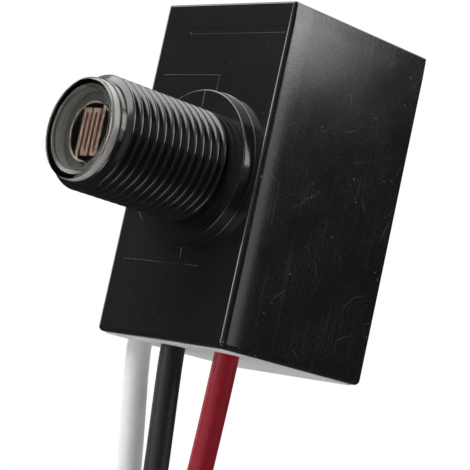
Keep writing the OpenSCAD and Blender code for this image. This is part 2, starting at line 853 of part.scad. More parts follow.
// Inner end of a conductor: up from the insulation, then back into the board
module inner_end(route) {
    start = route[0];
    bend_z = conductor_pad_z - conductor_bend_r;
    bend_y = start[1] + conductor_bend_r;
    color(copper) {
        translate(start) cylinder(d = conductor_d, h = bend_z - start[2]);
        translate([start[0], bend_y, bend_z]) rotate([90, 0, -90]) rotate_extrude(angle = 90)
            translate([conductor_bend_r, 0]) circle(d = conductor_d);
        translate([start[0], bend_y, conductor_pad_z]) rotate([-90, 0, 0])
            cylinder(d = conductor_d, h = board_back - bend_y);
    }
}

// Bare strands at a lead's free end
module stripped_end(route) {
    end = route[len(route) - 1];
    color(copper) translate(end - [0, 0, strip_l]) cylinder(d = conductor_d, h = strip_l);
}

module white_lead() {
    color(lead_white) tube(white_route, lead_d / 2);
}
module white_inner_end() {
    inner_end(white_route);
}
module white_stripped_end() {
    stripped_end(white_route);
}

module black_lead() {
    color(lead_black) tube(black_route, lead_d / 2);
}
module black_inner_end() {
    inner_end(black_route);
}
module black_stripped_end() {
    stripped_end(black_route);
}

module red_lead() {
    color(lead_red) tube(red_route, lead_d / 2);
}
module red_inner_end() {
    inner_end(red_route);
}
module red_stripped_end() {
    stripped_end(red_route);
}

casing();
lens();
cell_holder();
cell_disc();
cell_film();
cell_electrode_top();
cell_electrode_bottom();
cell_coat();
cell_wire_left();
cell_wire_right();
cell_sleeve_left();
cell_sleeve_right();
circuit_board();
relay();
relay_pins();
film_capacitor();
film_capacitor_wires();
smoothing_capacitor();
smoothing_capacitor_wires();
delay_capacitor();
delay_capacitor_wires();
varistor();
varistor_wires();
bridge_rectifier();
bridge_pins();
transistor();
transistor_wires();
surge_resistor();
surge_resistor_wires();
base_resistor();
base_resistor_wires();
sense_resistor();
sense_resistor_wires();
zener_diode();
zener_diode_wires();
solder_joints();
sealing_card();
potting();
white_lead();
white_inner_end();
white_stripped_end();
black_lead();
black_inner_end();
black_stripped_end();
red_lead();
red_inner_end();
red_stripped_end();
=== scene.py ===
import json
import math

import bmesh
import bpy
from mathutils import Matrix, Vector


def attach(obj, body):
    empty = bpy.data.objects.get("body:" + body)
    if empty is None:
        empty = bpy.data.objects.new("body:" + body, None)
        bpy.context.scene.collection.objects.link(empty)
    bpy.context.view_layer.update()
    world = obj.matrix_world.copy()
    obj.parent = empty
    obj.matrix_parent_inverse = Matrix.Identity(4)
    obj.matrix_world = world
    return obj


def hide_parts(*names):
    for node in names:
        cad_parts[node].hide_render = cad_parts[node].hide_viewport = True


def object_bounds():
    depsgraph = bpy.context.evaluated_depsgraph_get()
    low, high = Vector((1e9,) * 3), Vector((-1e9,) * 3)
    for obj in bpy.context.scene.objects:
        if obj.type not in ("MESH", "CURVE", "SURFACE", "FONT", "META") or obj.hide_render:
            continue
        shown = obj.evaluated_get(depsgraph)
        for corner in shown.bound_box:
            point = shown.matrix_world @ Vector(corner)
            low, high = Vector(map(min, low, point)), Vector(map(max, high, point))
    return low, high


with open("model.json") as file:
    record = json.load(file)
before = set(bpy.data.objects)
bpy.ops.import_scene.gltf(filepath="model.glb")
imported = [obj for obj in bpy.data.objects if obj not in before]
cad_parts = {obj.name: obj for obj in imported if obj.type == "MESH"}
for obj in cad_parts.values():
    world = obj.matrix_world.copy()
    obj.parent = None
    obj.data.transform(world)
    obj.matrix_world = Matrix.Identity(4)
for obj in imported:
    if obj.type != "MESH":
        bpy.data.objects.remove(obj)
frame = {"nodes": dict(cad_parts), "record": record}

cad_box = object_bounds()

# Shapes are drawn in millimetres in the part's own frame, and brought to metres when they are done. A shape that cuts
# or joins another runs past its face by OVERCUT
MM = 0.001
OVERCUT = 1.0

# Sizes of the casing, its collar and its nipple
CASING_W, CASING_H, CASING_D = 35.5, 63.5, 36.1
CASING_X = -1.3
FACE_Y = 2.6
WALL = 2.0
EDGE_R, TOP_EDGE_R = 1.0, 0.45
CROWN, CROWN_REACH = 0.15, 4.0
TOP_Z, BOTTOM_Z = CASING_H / 2, -CASING_H / 2
LEFT_X, RIGHT_X = CASING_X - CASING_W / 2, CASING_X + CASING_W / 2
COLLAR_R = 14.5
COLLAR_EDGE_R = 0.3
FILLET_R, FILLET_SUNK = 0.3, 0.02
CREST_R, ROOT_R = 10.65, 9.55
PITCH = 1.814
NIPPLE_L = 24.7
NIPPLE_CHAMFER = 0.15
MOUTH_R, MOUTH_DEPTH = 8.2, 9.0
PASSAGE_R = 5.5

# Sizes of the lens and of the skirt that holds it in the nipple's mouth
LENS_R, LENS_PROUD, LENS_EDGE_R = 9.25, 1.6, 0.6
WINDOW_T = 1.1
SKIRT_R, SKIRT_IN_R, SKIRT_L = 8.1, 7.3, 4.0

# Sizes of the groove and the moulding lines on the front face, and of the board's guide ribs inside. Each line goes
# from one X and Z to another, on a face at some Y and with some height
GROOVE_X, GROOVE_Z, GROOVE_STOP = -10.4, TOP_Z - 5.3, 0.7
GROOVE_SECTION = ((0.60, -0.02), (0.52, 0.06))
LINE_HALF, LINE_EDGE = 0.15, 0.08
FACE_LINE_H, COLLAR_LINE_H = 0.08, 0.03
MOULD_LINES = (
    (0, 0, 13.5, 17.8, FACE_Y, FACE_LINE_H), (0, 0, -17.8, -13.5, FACE_Y, FACE_LINE_H),
    (-15.6, 0, 17.8, 17.8, FACE_Y, FACE_LINE_H), (-15.6, 5.2, -17.8, -17.8, FACE_Y, FACE_LINE_H),
    (0, 0, 9.8, 14.1, 0, COLLAR_LINE_H),
)
RIBS_Y, RIB_W, RIB_PROUD, RIB_SUNK = (11.8, 14.8), 1.2, 1.0, 0.5

# Sizes of the leads. Each goes from its exit's X to the X where it hangs, over some drop. The strands end a little
# short of the stripped length, because their twist tilts their ends
LEAD_D = 4.6
LEAD_L = 142.0
LEAD_TAIL = 2.0
STRIP_L = 10.0
STRAND_D, STRAND_TWIST, STRAND_SHORT = 0.37, 0.25, 0.05
LEAD_Y, HANG_Y, HANG_REACH = 9.0, 12.3, 31.0
LEADS = (("white", -13.4, -7.4, 31.0), ("black", -3.8, -2.2, 28.0), ("red", 11.0, 3.0, 50.0))
ROUTE_STEPS, ROUTE_EASE, SWING_EASE = 22, 1.5, 1.4

# The potting fills the bottom of the casing up to its sealing card, laps over its rim and clings to the leads
CARD_TOP = BOTTOM_Z + 6.8
POTTING_TOP = BOTTOM_Z + 6.0
LAP, LAP_INSET, LAP_CORNER = 0.25, 1.1, 0.8
RESIN_WAVE, RESIN_ROOM, RESIN_RIM, RESIN_SKIN = 0.05, 0.02, 0.05, 0.1
EXIT_DROP = 0.4
EXIT_Z = BOTTOM_Z - EXIT_DROP
WET_HEIGHT, WET_REACH = 0.1, 0.3

# Camera, solved from the outline of the casing in the photograph
CAMERA_TURN = (48.0988, -6.4767, -12.2878)
CAMERA_PLACE = (282.004, -238.388, -52.440)
camera = bpy.data.objects.new("camera", bpy.data.cameras.new("camera"))
bpy.context.scene.collection.objects.link(camera)
bpy.context.scene.camera = camera
camera.data.sensor_width = 36.0
camera.data.lens = 157.26
camera.data.clip_start = 0.01
yaw, pitch, roll = (math.radians(angle) for angle in CAMERA_TURN)
forward = Vector((-math.sin(yaw) * math.cos(pitch), math.cos(yaw) * math.cos(pitch), -math.sin(pitch)))
level = Vector((math.cos(yaw), math.sin(yaw), 0))
right = math.cos(roll) * level + math.sin(roll) * forward.cross(level)
up = right.cross(forward)
turn = Matrix((right, up, -forward)).transposed()
camera.matrix_world = Matrix.Translation(Vector(CAMERA_PLACE) * MM) @ turn.to_4x4()


def linear(code):
    """sRGB hex colour as linear RGBA."""
    parts = [int(code[i:i + 2], 16) / 255 for i in (1, 3, 5)]
    return [p / 12.92 if p <= 0.04045 else ((p + 0.055) / 1.055) ** 2.4 for p in parts] + [1.0]


def add(tree, kind, inputs=None, **settings):
    """A new node in a tree, with its settings, its socket values and the links into it."""
    node = tree.nodes.new(kind)
    for name, value in settings.items():
        setattr(node, name, value)
    for name, value in (inputs or {}).items():
        if isinstance(value, bpy.types.NodeSocket):
            tree.links.new(value, node.inputs[name])
        else:
            node.inputs[name].default_value = value
    return node


def finish(name, **values):
    """A new material with one Principled shader, whose constant sockets are set here."""
    material = bpy.data.materials.new(name)
    material.use_nodes = True
    shader = material.node_tree.nodes["Principled BSDF"]
    for socket, value in values.items():
        shader.inputs[socket.replace("_", " ")].default_value = value
    return material, material.node_tree, shader


def blend_colours(tree, shader, factor, low, high):
    """Base colour that goes from one hex colour to another with a pattern."""
    ramp = add(tree, "ShaderNodeValToRGB", {"Fac": factor})
    ramp.color_ramp.elements[0].color = linear(low)
    ramp.color_ramp.elements[1].color = linear(high)
    tree.links.new(ramp.outputs["Color"], shader.inputs["Base Color"])


def moulded(name, low, high, grain_mm, bump_mm, rough=(0.35, 0.45), **values):
    """Moulded, dipped or cast material: a soft mottle in colour and gloss, and a fine relief of its grain."""
    material, tree, shader = finish(name, **values)
    place = add(tree, "ShaderNodeTexCoord").outputs["Object"]
    grain = add(tree, "ShaderNodeTexNoise", {"Vector": place, "Scale": 1 / (grain_mm * MM), "Detail": 4.0})
    blend_colours(tree, shader, grain.outputs["Fac"], low, high)
    gloss = add(tree, "ShaderNodeMapRange", {"Value": grain.outputs["Fac"], "To Min": rough[0], "To Max": rough[1]})
    relief = add(tree, "ShaderNodeBump", {"Height": grain.outputs["Fac"], "Distance": bump_mm * MM, "Strength": 0.5})
    tree.links.new(gloss.outputs["Result"], shader.inputs["Roughness"])
    tree.links.new(relief.outputs["Normal"], shader.inputs["Normal"])
    return material


def specks(tree, place, spacing_mm, size_mm, share):
    """Dots of dust on a share of the cells of an even spacing."""
    cell = add(tree, "ShaderNodeTexVoronoi", {"Vector": place, "Scale": 1 / (spacing_mm * MM)}).outputs
    edge = size_mm / spacing_mm
    dot = add(tree, "ShaderNodeMapRange", {
        "Value": cell["Distance"], "From Min": edge / 2, "From Max": edge, "To Min": 1.0, "To Max": 0.0,
    })
    chance = add(tree, "ShaderNodeSeparateColor", {"Color": cell["Color"]}).outputs["Red"]
    kept = add(tree, "ShaderNodeMath", {0: chance, 1: share}, operation="LESS_THAN").outputs[0]
    return add(tree, "ShaderNodeMath", {0: dot.outputs["Result"], 1: kept}, operation="MULTIPLY").outputs[0]


def scratches(tree, flat, spacing_mm, length_mm, half_width_mm):
    """Short bent scratches, one to a cell, each in its own direction."""
    bend = 0.35
    cell = add(tree, "ShaderNodeTexVoronoi", {"Vector": flat, "Scale": 1 / (spacing_mm * MM)},
               voronoi_dimensions="2D").outputs
    chance = add(tree, "ShaderNodeSeparateColor", {"Color": cell["Color"]}).outputs
    lay = add(tree, "ShaderNodeMath", {0: chance["Red"], 1: math.tau}, operation="MULTIPLY")
    away = add(tree, "ShaderNodeVectorMath", {0: flat, 1: cell["Position"]}, operation="SUBTRACT")
    turned = add(tree, "ShaderNodeVectorRotate", {"Vector": away.outputs[0], "Angle": lay.outputs[0]},
                 rotation_type="Z_AXIS")
    spot = add(tree, "ShaderNodeSeparateXYZ", {"Vector": turned.outputs[0]}).outputs
    square = add(tree, "ShaderNodeMath", {0: spot["X"], 1: spot["X"]}, operation="MULTIPLY")
    bent = add(tree, "ShaderNodeMath", {0: square.outputs[0], 1: bend / (length_mm * MM), 2: spot["Y"]},
               operation="MULTIPLY_ADD")
    aside = add(tree, "ShaderNodeMath", {0: bent.outputs[0]}, operation="ABSOLUTE")
    far = add(tree, "ShaderNodeMath", {0: spot["X"]}, operation="ABSOLUTE")
    thin = add(tree, "ShaderNodeMapRange", {
        "Value": aside.outputs[0], "From Max": half_width_mm * MM, "To Min": 1.0, "To Max": 0.0,
    })
    short = add(tree, "ShaderNodeMapRange", {
        "Value": far.outputs[0], "From Min": 0.2 * length_mm * MM, "From Max": 0.5 * length_mm * MM,
        "To Min": 1.0, "To Max": 0.0,
    })
    mark = add(tree, "ShaderNodeMath", {0: thin.outputs["Result"], 1: short.outputs["Result"]}, operation="MULTIPLY")
    return add(tree, "ShaderNodeMath", {0: mark.outputs[0], 1: chance["Green"]}, operation="MULTIPLY").outputs[0]


def casing_plastic():
    """Black thermoplastic from a polished mould, handled: fine scratches, streaks and dust, most of all on its
    right side. A real scratch is finer than a pixel, so these are drawn about 0.1 mm wide."""
    material, tree, shader = finish("moulded_black_plastic", IOR=1.46)
    place = add(tree, "ShaderNodeTexCoord").outputs["Object"]
    mottle = add(tree, "ShaderNodeTexNoise", {"Vector": place, "Scale": 1 / (9 * MM), "Detail": 5.0})
    grain = add(tree, "ShaderNodeTexNoise", {"Vector": place, "Scale": 1 / (0.5 * MM), "Detail": 3.0})
    axes = add(tree, "ShaderNodeSeparateXYZ", {"Vector": place}).outputs
    worn = add(tree, "ShaderNodeMapRange", {
        "Value": axes["X"], "From Min": (RIGHT_X - 0.8) * MM, "From Max": (RIGHT_X - 0.3) * MM,
        "To Min": 0.15, "To Max": 1.0,
    })
    # Two flat coordinates that run over every side of the casing
    across = add(tree, "ShaderNodeMath", {0: axes["X"], 1: axes["Y"]}, operation="ADD")
    slant = add(tree, "ShaderNodeMath", {0: axes["X"], 1: axes["Y"]}, operation="SUBTRACT")
    along = add(tree, "ShaderNodeMath", {0: slant.outputs[0], 1: 0.5, 2: axes["Z"]}, operation="MULTIPLY_ADD")
    flat = add(tree, "ShaderNodeCombineXYZ", {"X": across.outputs[0], "Y": along.outputs[0]}).outputs[0]
    lay = add(tree, "ShaderNodeMapping", {
        "Vector": place, "Scale": (1 / (3 * MM), 1 / (0.5 * MM), 1 / (16 * MM)), "Rotation": (0.08, 0.0, 0.0),
    })
    streak = add(tree, "ShaderNodeTexNoise", {"Vector": lay.outputs["Vector"], "Scale": 1.0, "Detail": 1.0})
    streak = add(tree, "ShaderNodeMapRange", {
        "Value": streak.outputs["Fac"], "From Min": 0.6, "From Max": 0.85, "To Max": 0.14,
    })
    patch = add(tree, "ShaderNodeMapRange", {"Value": mottle.outputs["Fac"], "From Min": 0.3, "From Max": 0.6})
    marks = streak.outputs["Result"]
    for spacing, length, half, strength in ((0.8, 0.9, 0.06, 0.3), (0.5, 0.5, 0.05, 0.3), (6.0, 5.0, 0.07, 0.8)):
        mark = scratches(tree, flat, spacing, length, half)
        mark = add(tree, "ShaderNodeMath", {0: mark, 1: strength}, operation="MULTIPLY").outputs[0]
        marks = add(tree, "ShaderNodeMath", {0: marks, 1: mark}, operation="MAXIMUM").outputs[0]
    marks = add(tree, "ShaderNodeMath", {0: marks, 1: patch.outputs["Result"]}, operation="MULTIPLY").outputs[0]
    dust = specks(tree, place, 2.2, 0.19, 0.45)
    marks = add(tree, "ShaderNodeMath", {0: marks, 1: dust}, operation="MAXIMUM").outputs[0]
    marks = add(tree, "ShaderNodeMath", {0: marks, 1: worn.outputs["Result"]}, operation="MULTIPLY").outputs[0]
    blend_colours(tree, shader, marks, "#1e1e20", "#84827c")
    gloss = add(tree, "ShaderNodeMapRange", {"Value": mottle.outputs["Fac"], "To Min": 0.11, "To Max": 0.18})
    matt = add(tree, "ShaderNodeMath", {0: marks, 1: 0.3, 2: gloss.outputs["Result"]}, operation="MULTIPLY_ADD")
    rub = add(tree, "ShaderNodeMath", {0: grain.outputs["Fac"], 1: worn.outputs["Result"]}, operation="MULTIPLY")
    relief = add(tree, "ShaderNodeBump", {"Height": rub.outputs[0], "Distance": 0.01 * MM, "Strength": 0.5})
    tree.links.new(matt.outputs[0], shader.inputs["Roughness"])
    tree.links.new(relief.outputs["Normal"], shader.inputs["Normal"])
    return material


def lens_plastic():
    """Clear moulded acrylic: polished on its window, and satin on its side and its skirt. The side, and less the
    skirt, is also pale, warm-tinted and partly diffuse: a painted reflection of the light carried through the clear
    wall and of the brown cell.
    """
    material, tree, shader = finish("clear_acrylic", IOR=1.49)
    place = add(tree, "ShaderNodeTexCoord").outputs["Object"]
    axes = add(tree, "ShaderNodeSeparateXYZ", {"Vector": place}).outputs
    flat = add(tree, "ShaderNodeCombineXYZ", {"X": axes["X"], "Z": axes["Z"]})
    out = add(tree, "ShaderNodeVectorMath", {0: flat.outputs[0]}, operation="LENGTH")
    side = add(tree, "ShaderNodeMapRange", {
        "Value": out.outputs["Value"], "From Min": (LENS_R - 0.15) * MM, "From Max": (LENS_R - 0.03) * MM,
    })
    skirt = add(tree, "ShaderNodeMath", {0: axes["Y"], 1: -(NIPPLE_L - 0.1) * MM}, operation="GREATER_THAN")
    skirt = add(tree, "ShaderNodeMath", {0: skirt.outputs[0], 1: 0.4}, operation="MULTIPLY").outputs[0]
    side = add(tree, "ShaderNodeMath", {0: side.outputs["Result"], 1: skirt}, operation="MAXIMUM").outputs[0]
    # Pale warm side and skirt with less transmission: painted reflection of light in the clear wall and of the brown
    # cell
    blend_colours(tree, shader, side, "#f6f6f4", "#e9e4da")
    clear = add(tree, "ShaderNodeMapRange", {"Value": side, "To Min": 1.0, "To Max": 0.55})
    gloss = add(tree, "ShaderNodeMapRange", {"Value": side, "To Min": 0.01, "To Max": 0.35})
    tree.links.new(clear.outputs["Result"], shader.inputs["Transmission Weight"])
    tree.links.new(gloss.outputs["Result"], shader.inputs["Roughness"])
    return material


def clear_plastic(name, tint, rough):
    """Clear epoxy or glass: see-through, with faint flow marks."""
    material, tree, shader = finish(name, IOR=1.49, Transmission_Weight=1.0)
    shader.inputs["Base Color"].default_value = linear(tint)
    place = add(tree, "ShaderNodeTexCoord").outputs["Object"]
    flow = add(tree, "ShaderNodeTexNoise", {
        "Vector": place, "Scale": 1 / (2.5 * MM), "Detail": 2.0, "Distortion": 1.5,
    })
    gloss = add(tree, "ShaderNodeMapRange", {"Value": flow.outputs["Fac"], "To Min": rough, "To Max": 2.5 * rough})
    relief = add(tree, "ShaderNodeBump", {"Height": flow.outputs["Fac"], "Distance": 0.01 * MM, "Strength": 0.4})
    tree.links.new(gloss.outputs["Result"], shader.inputs["Roughness"])
    tree.links.new(relief.outputs["Normal"], shader.inputs["Normal"])
    return material


def stranded_copper():
    """Bare drawn copper, dulled in places by handling."""
    material, tree, shader = finish("bare_copper_strands", Metallic=1.0)
    place = add(tree, "ShaderNodeTexCoord").outputs["Object"]
    tarnish = add(tree, "ShaderNodeTexNoise", {"Vector": place, "Scale": 1 / (1.5 * MM), "Detail": 4.0})
    blend_colours(tree, shader, tarnish.outputs["Fac"], "#9a5a38", "#dc9368")
    gloss = add(tree, "ShaderNodeMapRange", {"Value": tarnish.outputs["Fac"], "To Min": 0.2, "To Max": 0.4})
    tree.links.new(gloss.outputs["Result"], shader.inputs["Roughness"])
    return material


def tinned_wire(name, low, high, rough=(0.22, 0.38)):
    """Tin on copper, solder or evaporated metal: pale metal with a soft, slightly uneven gloss."""
    material, tree, shader = finish(name, Metallic=1.0)
    place = add(tree, "ShaderNodeTexCoord").outputs["Object"]
    dull = add(tree, "ShaderNodeTexNoise", {"Vector": place, "Scale": 1 / (0.8 * MM), "Detail": 3.0})
    blend_colours(tree, shader, dull.outputs["Fac"], low, high)
    gloss = add(tree, "ShaderNodeMapRange", {"Value": dull.outputs["Fac"], "To Min": rough[0], "To Max": rough[1]})
    tree.links.new(gloss.outputs["Result"], shader.inputs["Roughness"])
    return material


def laminate():
    """Phenolic paper laminate: tan, with paper fibres that run up the board."""
    material, tree, shader = finish("phenolic_paper_laminate", IOR=1.55)
    place = add(tree, "ShaderNodeTexCoord").outputs["Object"]
    lay = add(tree, "ShaderNodeMapping", {"Vector": place, "Scale": (1 / (0.3 * MM), 1 / (0.3 * MM), 1 / (2 * MM))})
    fibre = add(tree, "ShaderNodeTexNoise", {"Vector": lay.outputs["Vector"], "Scale": 1.0, "Detail": 5.0})
    blend_colours(tree, shader, fibre.outputs["Fac"], "#a0763f", "#c39a5f")
    gloss = add(tree, "ShaderNodeMapRange", {"Value": fibre.outputs["Fac"], "To Min": 0.4, "To Max": 0.55})
    tree.links.new(gloss.outputs["Result"], shader.inputs["Roughness"])
    return material


# Materials by the record's slots. Moulded plastics have an even, fine-grained gloss, dipped and cast coats are softer
# and wavier, and ceramic, film and card are dull
finishes = {
    "casing_plastic": casing_plastic(),
    "clear_plastic": lens_plastic(),
    "clear_coat": clear_plastic("clear_epoxy_coat", "#f0eeea", 0.02),
    # The holder's dark plastic is painted a little lighter: painted light for the light that falls on it from the
    # right and top
    "holder_plastic": moulded("dark_plastic_painted_lighter", "#2c2c2e", "#3a3a3c", 0.6, 0.01),
    "ceramic": moulded("unglazed_ceramic", "#d8d2c6", "#ebe6dc", 0.4, 0.01, (0.6, 0.75)),
    # The film is brown of its own, painted paler and greyer for the veil of reflection over it and for the light that
    # reaches it through the lens
    "cell_film": moulded("cadmium_film_painted_veil", "#c6a598", "#d8baae", 0.25, 0.004, (0.5, 0.65)),
    "tinned_metal": tinned_wire("tinned_copper_wire", "#b4b4b0", "#d4d4d0"),
    "solder": tinned_wire("bright_solder", "#a8a8a6", "#cfcfcc"),
    "sleeve_plastic": moulded("blue_sleeving", "#222c50", "#2c3866", 0.5, 0.005),
    "board_laminate": laminate(),
    "relay_plastic": moulded("moulded_blue_plastic", "#2a4d92", "#34599f", 0.7, 0.008, (0.25, 0.35)),
    "film_capacitor_plastic": moulded("moulded_yellow_plastic", "#c99f22", "#d8b032", 0.7, 0.008, (0.25, 0.35)),
    "can_sleeve": moulded("shrunk_blue_sleeve", "#141a3c", "#1b2348", 1.2, 0.006, (0.18, 0.26)),
    "varistor_coat": moulded("dipped_blue_coating", "#1d4a90", "#2b5ba4", 0.5, 0.02, (0.4, 0.55)),
    "black_epoxy": moulded("moulded_black_epoxy", "#161616", "#202020", 0.3, 0.006, (0.5, 0.65)),
    "resistor_coat": moulded("baked_tan_coating", "#bd9c6c", "#cfb182", 0.4, 0.006, (0.35, 0.5)),
    "diode_glass": clear_plastic("amber_glass", "#c8602a", 0.03),
    "card_fibre": moulded("pressed_fibre_card", "#6b5034", "#846644", 0.35, 0.02, (0.75, 0.9)),
    "potting_resin": moulded("cast_grey_resin", "#dcdcda", "#e8e8e6", 2.5, 0.03, (0.4, 0.55)),
    # Extruded insulation: smooth, with a broad soft sheen along each lead
    "white_insulation": moulded("white_pvc", "#e9e9ea", "#f4f4f5", 1.5, 0.006, (0.45, 0.55)),
    "black_insulation": moulded("black_pvc", "#0f1012", "#151618", 1.5, 0.006, (0.45, 0.55), Specular_IOR_Level=0.4),
    "red_insulation": moulded("red_pvc", "#93061f", "#a50d28", 1.5, 0.006, (0.35, 0.45), Specular_IOR_Level=0.3),
    "copper_strands": stranded_copper(),
}


def dress(piece, slot, *nodes):
    """Paints a finished piece, puts it under the root body and hides the CAD nodes it stands for."""
    piece.data.materials.clear()
    piece.data.materials.append(finishes[slot])
    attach(piece, "root")
    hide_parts(*nodes)
    return piece


def object_of(name, mesh):
    """An object at the origin, in the scene."""
    piece = bpy.data.objects.new(name, mesh)
    bpy.context.scene.collection.objects.link(piece)
    return piece


def mesh_of(name, bm):
    """A mesh with its faces turned outwards."""
    bmesh.ops.recalc_face_normals(bm, faces=bm.faces)
    mesh = bpy.data.meshes.new(name)
    bm.to_mesh(mesh)
    bm.free()
    return mesh


def settled(piece):
    """The piece with its modifiers worked into a plain mesh."""
    mesh = bpy.data.meshes.new_from_object(piece.evaluated_get(bpy.context.evaluated_depsgraph_get()))
    piece.modifiers.clear()
    piece.data = mesh
    return piece


def smoothed(mesh, angle):
    """Smooth shading that keeps edges sharper than an angle in degrees."""
    mesh.polygons.foreach_set("use_smooth", [True] * len(mesh.polygons))
    mesh.set_sharp_from_angle(angle=math.radians(angle))


def to_metres(mesh):
    """A mesh drawn in millimetres, brought to its real size."""
    mesh.transform(Matrix.Scale(MM, 4))


def lead_points(exit_x, hang_x, swing):
    """Route of a lead: straight out of the potting, then a swing that dies away below the casing."""
    def swung(start, end, reach, drop):
        return end + (start - end) * math.exp(-((drop / reach) ** SWING_EASE))

    points = [(exit_x, LEAD_Y, CARD_TOP + LEAD_TAIL), (exit_x, LEAD_Y, (CARD_TOP + LEAD_TAIL + EXIT_Z) / 2)]
    for i in range(ROUTE_STEPS + 1):
        drop = (LEAD_L - LEAD_TAIL) * (i / ROUTE_STEPS) ** ROUTE_EASE
        points.append((swung(exit_x, hang_x, swing, drop), swung(LEAD_Y, HANG_Y, HANG_REACH, drop), EXIT_Z - drop))
    x, y, z = points[-1]
    return points + [(x, y, z - LEAD_TAIL)]


def strand_tree():
    """Strands in rings of 1, 6 and 12, twisted about the conductor's axis."""
    tree = bpy.data.node_groups.new("conductor_strands", "GeometryNodeTree")
    tree.interface.new_socket("Geometry", in_out="OUTPUT", socket_type="NodeSocketGeometry")
    for name in ("Strand", "Length", "Twist"):
        tree.interface.new_socket(name, in_out="INPUT", socket_type="NodeSocketFloat")
    tree.interface.new_socket("Place", in_out="INPUT", socket_type="NodeSocketVector")
    tree.interface.new_socket("Finish", in_out="INPUT", socket_type="NodeSocketMaterial")
    given = add(tree, "NodeGroupInput").outputs
    rings = add(tree, "GeometryNodeJoinGeometry")
    for count, reach in ((1, 0.0), (6, 1.0), (12, 1.95)):
        out = add(tree, "ShaderNodeMath", {0: given["Strand"], 1: reach}, operation="MULTIPLY")
        ring = add(tree, "GeometryNodePoints", {"Count": count})
        share = add(tree, "ShaderNodeMath", {
            0: add(tree, "GeometryNodeInputIndex").outputs[0], 1: math.tau / count,
        }, operation="MULTIPLY")
        spot = add(tree, "ShaderNodeVectorRotate", {
            "Vector": add(tree, "ShaderNodeCombineXYZ", {"X": out.outputs[0]}).outputs[0], "Angle": share.outputs[0],
        }, rotation_type="Z_AXIS")
        tree.links.new(spot.outputs[0], ring.inputs["Position"])
        tree.links.new(ring.outputs[0], rings.inputs[0])
    fall = add(tree, "ShaderNodeCombineXYZ", {
        "Z": add(tree, "ShaderNodeMath", {0: given["Length"], 1: -1.0}, operation="MULTIPLY").outputs[0],
    })
    line = add(tree, "GeometryNodeCurvePrimitiveLine", {"End": fall.outputs[0]})
    line = add(tree, "GeometryNodeResampleCurve", {"Curve": line.outputs[0], "Count": 14})
    strands = add(tree, "GeometryNodeInstanceOnPoints", {"Points": rings.outputs[0], "Instance": line.outputs[0]})
    strands = add(tree, "GeometryNodeRealizeInstances", {"Geometry": strands.outputs[0]})
    spot = add(tree, "GeometryNodeInputPosition").outputs[0]
    height = add(tree, "ShaderNodeSeparateXYZ", {"Vector": spot}).outputs["Z"]
    angle = add(tree, "ShaderNodeMath", {0: height, 1: given["Twist"]}, operation="MULTIPLY")
    turned = add(tree, "ShaderNodeVectorRotate", {"Vector": spot, "Angle": angle.outputs[0]}, rotation_type="Z_AXIS")
    strands = add(tree, "GeometryNodeSetPosition", {"Geometry": strands.outputs[0], "Position": turned.outputs[0]})
    half = add(tree, "ShaderNodeMath", {0: given["Strand"], 1: 0.5}, operation="MULTIPLY")
    round_wire = add(tree, "GeometryNodeCurvePrimitiveCircle", {"Resolution": 8, "Radius": half.outputs[0]})
    wires = add(tree, "GeometryNodeCurveToMesh", {
        "Curve": strands.outputs[0], "Profile Curve": round_wire.outputs[0], "Fill Caps": True,
    })
    wires = add(tree, "GeometryNodeTransform", {"Geometry": wires.outputs[0], "Translation": given["Place"]})
    wires = add(tree, "GeometryNodeRealizeInstances", {"Geometry": wires.outputs[0]})
    wires = add(tree, "GeometryNodeSetMaterial", {"Geometry": wires.outputs[0], "Material": given["Finish"]})
    add(tree, "NodeGroupOutput", {"Geometry": wires.outputs[0]})
    return tree


def grown(name, tree, values):
    """A piece made by a Geometry Nodes tree, with its named inputs set by their identifiers."""
    piece = object_of(name, bpy.data.meshes.new(name))
    modifier = piece.modifiers.new("shape", "NODES")
    modifier.node_group = tree
    for item in tree.interface.items_tree:
        if item.in_out == "INPUT":
            modifier[item.identifier] = values[item.name]
    return settled(piece)


strands = strand_tree()
for colour, exit_x, hang_x, swing in LEADS:
    route = lead_points(exit_x, hang_x, swing)
    curve = bpy.data.curves.new(colour + "_lead", "CURVE")
    curve.dimensions = "3D"
    curve.bevel_depth = LEAD_D / 2 * MM
    curve.bevel_resolution = 8
    curve.use_fill_caps = True
    spline = curve.splines.new("POLY")
    spline.points.add(len(route) - 1)
    for point, place in zip(spline.points, route):
        point.co = (*(Vector(place) * MM), 1.0)
    spline.use_smooth = True
    lead = dress(object_of(colour + "_insulation", curve), colour + "_insulation", colour + "_lead")
    wire = grown(colour + "_strands", strands, {
        "Strand": STRAND_D, "Length": STRIP_L - STRAND_SHORT, "Twist": STRAND_TWIST, "Place": route[-1],
        "Finish": finishes["copper_strands"],
    })
    to_metres(wire.data)
    smoothed(wire.data, 50)
    dress(wire, "copper_strands", colour + "_stripped_end")


def lathe(profile, steps=160):
    """Closed shape turned about the nipple's axis, from pairs of radius and height along the nipple."""
    bm = bmesh.new()
    rings = []
    for radius, height in profile:
        if radius == 0:
            rings.append([bm.verts.new((0, -height, 0))] * steps)
            continue
        ring = []
        for k in range(steps):
            angle = math.tau * k / steps
            ring.append(bm.verts.new((radius * math.cos(angle), -height, radius * math.sin(angle))))
        rings.append(ring)
    pairs = list(zip(rings, rings[1:]))
    if profile[0][0] > 0:
        pairs.append((rings[-1], rings[0]))
    for a, b in pairs:
        for k in range(steps):
            n = (k + 1) % steps
            corners = list(dict.fromkeys((a[k], a[n], b[n], b[k])))
            if len(corners) > 2:
                bm.faces.new(corners)
    return bm


def arc(centre, radius, start, end, steps=6):
    """Points of a round edge in a profile, with its angles in degrees."""
    return [
        (centre[0] + radius * math.cos(math.radians(start + (end - start) * i / steps)),
         centre[1] + radius * math.sin(math.radians(start + (end - start) * i / steps)))
        for i in range(steps + 1)
    ]


def block(bm, low, high):
    """A box between two corners."""
    low, high = Vector(low), Vector(high)
    shape = Matrix.Translation((low + high) / 2) @ Matrix.Diagonal((*(high - low), 1))
    bmesh.ops.create_cube(bm, size=1, matrix=shape)


